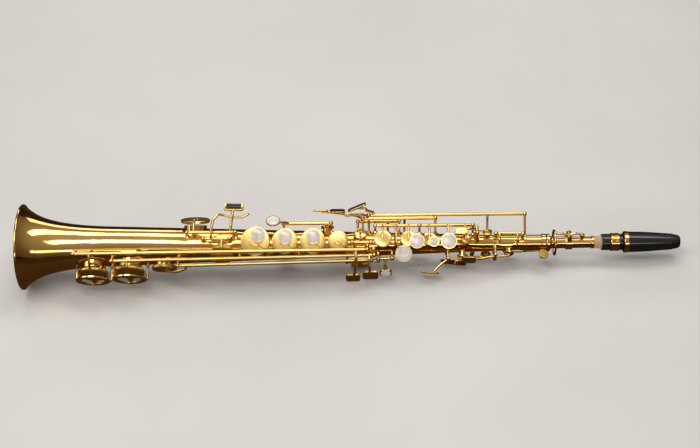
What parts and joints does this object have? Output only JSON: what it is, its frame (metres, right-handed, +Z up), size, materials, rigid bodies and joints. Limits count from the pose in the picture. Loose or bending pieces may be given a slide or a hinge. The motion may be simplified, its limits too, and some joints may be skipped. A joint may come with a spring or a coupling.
{
  "type": "soprano saxophone",
  "caption": "Straight soprano saxophone: conical brass body with flared bell, hinged padded keys on long rods, pearl touches, straight neck, capped black mouthpiece",
  "frame": {"origin": "centre of the bell mouth, on the bore axis", "axes": "+X runs along the bore from the bell mouth to the mouthpiece; +Z up, so the main key stack faces between +Z and -Y"},
  "size_m": [0.713, 0.0932, 0.0932],
  "materials": {
    "lacquered_brass": "clear gold lacquer over polished brass",
    "lacquered_keys": "clear gold lacquer over brass, slightly softer shine",
    "steel": "bright drawn steel",
    "pad_leather": "tan leather over felt",
    "mother_of_pearl": "polished shell with a faint pink and green play",
    "cork": "waxed cork",
    "black_resin": "polished black hard rubber",
    "cane": "shaved cane",
    "thumb_plastic": "moulded black plastic"
  },
  "bodies": {
    "root": {"body_tube": "lacquered_brass", "neck_receiver": "lacquered_brass", "octave_pips": "lacquered_brass", "thumb_hook_base": "lacquered_keys", "strap_ring": "lacquered_keys", "thumb_rest": "thumb_plastic", "key_guards": "lacquered_keys", "posts": "lacquered_keys", "hinge_rods": "steel"},
    "clamp_screw": {"clamp_screw": "lacquered_keys"},
    "neck": {"neck_tube": "lacquered_brass", "neck_cork": "cork", "neck_saddle": "lacquered_brass", "neck_pivot": "steel"},
    "mouthpiece": {"mouthpiece": "black_resin", "mouthpiece_ring": "lacquered_brass", "reed": "cane", "ligature": "lacquered_brass", "ligature_screws": "steel"},
    "cap": {"mouthpiece_cap": "black_resin", "cap_ring": "lacquered_brass"},
    "d_key": {"d_key": "lacquered_keys", "d_pad": "pad_leather", "d_pearl": "mother_of_pearl"},
    "e_key": {"e_key": "lacquered_keys", "e_pad": "pad_leather", "e_pearl": "mother_of_pearl"},
    "f_key": {"f_key": "lacquered_keys", "f_pad": "pad_leather", "f_pearl": "mother_of_pearl"},
    "fsharp_key": {"fsharp_key": "lacquered_keys"},
    "g_key": {"g_key": "lacquered_keys", "g_pearl": "mother_of_pearl"},
    "a_key": {"a_key": "lacquered_keys"},
    "bis_key": {"bis_key": "lacquered_keys"},
    "b_key": {"b_key": "lacquered_keys"},
    "c_key": {"c_key": "lacquered_keys"},
    "low_bb_key": {"low_bb_key": "lacquered_keys", "low_bb_pad": "pad_leather"},
    "low_b_key": {"low_b_key": "lacquered_keys", "low_b_pad": "pad_leather"},
    "low_csharp_key": {"low_csharp_key": "lacquered_keys"},
    "csharp_lever": {"csharp_lever": "lacquered_keys"},
    "gsharp_key": {"gsharp_key": "lacquered_keys"},
    "gsharp_lever": {"gsharp_lever": "lacquered_keys"},
    "trill_key": {"trill_key": "lacquered_keys"},
    "low_c_key": {"low_c_key": "lacquered_keys", "low_c_pad": "pad_leather"},
    "eb_key": {"eb_key": "lacquered_keys"},
    "side_bb_key": {"side_bb_key": "lacquered_keys"},
    "side_c_key": {"side_c_key": "lacquered_keys"},
    "high_e_key": {"high_e_key": "lacquered_keys"},
    "palm_d_key": {"palm_d_key": "lacquered_keys"},
    "palm_eb_key": {"palm_eb_key": "lacquered_keys"},
    "palm_f_key": {"palm_f_key": "lacquered_keys"},
    "front_f_key": {"front_f_key": "lacquered_keys"},
    "body_octave_key": {"body_octave_key": "lacquered_keys"},
    "octave_lever": {"octave_lever": "lacquered_keys"},
    "neck_octave_key": {"neck_octave_key": "lacquered_keys"},
    "thumb_hook": {"thumb_hook": "lacquered_keys"}
  },
  "joints": [
    {"name": "d_turn", "type": "hinge", "parent": "root", "child": "d_key", "pos_m": [0.2365, -0.0212, 0], "axis": [-0.9995, -0.0314, 0], "range_deg": [0, 8]},
    {"name": "e_turn", "type": "hinge", "parent": "root", "child": "e_key", "pos_m": [0.2365, -0.0212, 0], "axis": [-0.9995, -0.0314, 0], "range_deg": [0, 8]},
    {"name": "f_turn", "type": "hinge", "parent": "root", "child": "f_key", "pos_m": [0.2365, -0.0212, 0], "axis": [-0.9995, -0.0314, 0], "range_deg": [0, 8]},
    {"name": "g_turn", "type": "hinge", "parent": "root", "child": "g_key", "pos_m": [0.3826, 0.00871, 0.01867], "axis": [1, 0, 0], "range_deg": [0, 7]},
    {"name": "a_turn", "type": "hinge", "parent": "root", "child": "a_key", "pos_m": [0.3826, 0.00871, 0.01867], "axis": [1, 0, 0], "range_deg": [0, 7]},
    {"name": "bis_turn", "type": "hinge", "parent": "root", "child": "bis_key", "pos_m": [0.3826, 0.00871, 0.01867], "axis": [1, 0, 0], "range_deg": [0, 7]},
    {"name": "b_turn", "type": "hinge", "parent": "root", "child": "b_key", "pos_m": [0.3826, 0.00871, 0.01867], "axis": [1, 0, 0], "range_deg": [0, 7]},
    {"name": "low_bb_turn", "type": "hinge", "parent": "root", "child": "low_bb_key", "pos_m": [0.061, -0.03231, 0.01828], "axis": [0.9995, 0.0274, -0.0155], "range_deg": [0, 7]},
    {"name": "low_b_turn", "type": "hinge", "parent": "root", "child": "low_b_key", "pos_m": [0.101, -0.034, 0.00937], "axis": [0.9995, 0.0303, -0.0083], "range_deg": [0, 7]},
    {"name": "csharp_lever_turn", "type": "hinge", "parent": "root", "child": "csharp_lever", "pos_m": [0.352, -0.00707, -0.01942], "axis": [0.9995, 0.0108, 0.0295], "range_deg": [0, 9]},
    {"name": "gsharp_lever_turn", "type": "hinge", "parent": "root", "child": "gsharp_lever", "pos_m": [0.3855, -0.01991, -0.00351], "axis": [0.9995, 0.031, 0.0055], "range_deg": [0, 9]},
    {"name": "trill_turn", "type": "hinge", "parent": "root", "child": "trill_key", "pos_m": [0.284, 0.00773, 0.02378], "axis": [1, 0, 0], "range_deg": [0, 10]},
    {"name": "low_c_turn", "type": "hinge", "parent": "root", "child": "low_c_key", "pos_m": [0.1805, -0.00789, 0.02582], "axis": [-1, 0, 0], "range_deg": [0, 8]},
    {"name": "eb_turn", "type": "hinge", "parent": "root", "child": "eb_key", "pos_m": [0.198, -0.01322, 0.02157], "axis": [-1, 0, 0], "range_deg": [0, 6.5]},
    {"name": "side_bb_turn", "type": "hinge", "parent": "root", "child": "side_bb_key", "pos_m": [0.364, 0.02252, 0.013], "axis": [1, 0, 0], "range_deg": [0, 9]},
    {"name": "side_c_turn", "type": "hinge", "parent": "root", "child": "side_c_key", "pos_m": [0.3695, 0.01566, 0.02321], "axis": [1, 0, 0], "range_deg": [0, 7]},
    {"name": "high_e_turn", "type": "hinge", "parent": "root", "child": "high_e_key", "pos_m": [0.376, 0.02067, 0.02377], "axis": [1, 0, 0], "range_deg": [0, 7]},
    {"name": "palm_d_turn", "type": "hinge", "parent": "root", "child": "palm_d_key", "pos_m": [0.461, -0.0174, -0.00572], "axis": [0, 0.5878, -0.809], "range_deg": [0, 5.5]},
    {"name": "palm_eb_turn", "type": "hinge", "parent": "root", "child": "palm_eb_key", "pos_m": [0.488, -0.00996, -0.01441], "axis": [0, 0.9613, -0.2756], "range_deg": [0, 5.5]},
    {"name": "palm_f_turn", "type": "hinge", "parent": "root", "child": "palm_f_key", "pos_m": [0.512, -0.01715, -0.00089], "axis": [0, 0.3746, -0.9272], "range_deg": [0, 5.5]},
    {"name": "front_f_turn", "type": "hinge", "parent": "root", "child": "front_f_key", "pos_m": [0.4925, 0.00741, 0.01697], "axis": [0, -0.9945, 0.1045], "range_deg": [0, 5.5]},
    {"name": "octave_lever_turn", "type": "hinge", "parent": "root", "child": "octave_lever", "pos_m": [0.424, 0.00771, -0.01582], "axis": [1, 0, 0], "range_deg": [0, 8]},
    {"name": "fsharp_turn", "type": "hinge", "parent": "root", "child": "fsharp_key", "pos_m": [0.2365, -0.0212, 0], "axis": [-0.9995, -0.0314, 0], "range_deg": [0, 8]},
    {"name": "c_turn", "type": "hinge", "parent": "root", "child": "c_key", "pos_m": [0.3826, 0.00871, 0.01867], "axis": [1, 0, 0], "range_deg": [0, 7]},
    {"name": "low_csharp_turn", "type": "hinge", "parent": "root", "child": "low_csharp_key", "pos_m": [0.171, -0.03334, 0.00122], "axis": [-0.9995, -0.0314, 0.0012], "range_deg": [0, 9]},
    {"name": "gsharp_turn", "type": "hinge", "parent": "root", "child": "gsharp_key", "pos_m": [0.3576, -0.01271, 0.01412], "axis": [1, 0, 0], "range_deg": [0, 10]},
    {"name": "body_octave_turn", "type": "hinge", "parent": "root", "child": "body_octave_key", "pos_m": [0.5126, -0.00223, 0.01586], "axis": [-0.9995, -0.0044, 0.0311], "range_deg": [0, 9]},
    {"name": "neck_octave_turn", "type": "hinge", "parent": "neck", "child": "neck_octave_key", "pos_m": [0.5925, -0.0037, 0.0106], "axis": [0, -1, 0], "range_deg": [0, 6]},
    {"name": "neck_turn", "type": "hinge", "parent": "root", "child": "neck", "pos_m": [0.56, 0, 0], "axis": [1, 0, 0], "range_deg": [-15, 15]},
    {"name": "mouthpiece_tuning", "type": "slide", "parent": "neck", "child": "mouthpiece", "axis": [1, 0, 0], "range_m": [0, 0.008]},
    {"name": "cap_off", "type": "slide", "parent": "mouthpiece", "child": "cap", "axis": [1, 0, 0], "range_m": [0, 0.07]},
    {"name": "clamp_screw_turn", "type": "hinge", "parent": "root", "child": "clamp_screw", "pos_m": [0.5644, -0.01163, -0.00814], "axis": [0, -0.5736, 0.8192], "range_deg": [-180, 180]},
    {"name": "thumb_hook_slide", "type": "slide", "parent": "root", "child": "thumb_hook", "axis": [1, 0, 0], "range_m": [-0.0025, 0.0025]}
  ],
  "couplings": [
    {"joint": "fsharp_turn", "follows": "f_turn", "ratio": 1},
    {"joint": "c_turn", "follows": "b_turn", "ratio": 1},
    {"joint": "low_csharp_turn", "follows": "csharp_lever_turn", "ratio": 1},
    {"joint": "gsharp_turn", "follows": "gsharp_lever_turn", "ratio": 1},
    {"joint": "body_octave_turn", "follows": "octave_lever_turn", "ratio": 1},
    {"joint": "neck_octave_turn", "follows": "octave_lever_turn", "ratio": 0.75}
  ]
}
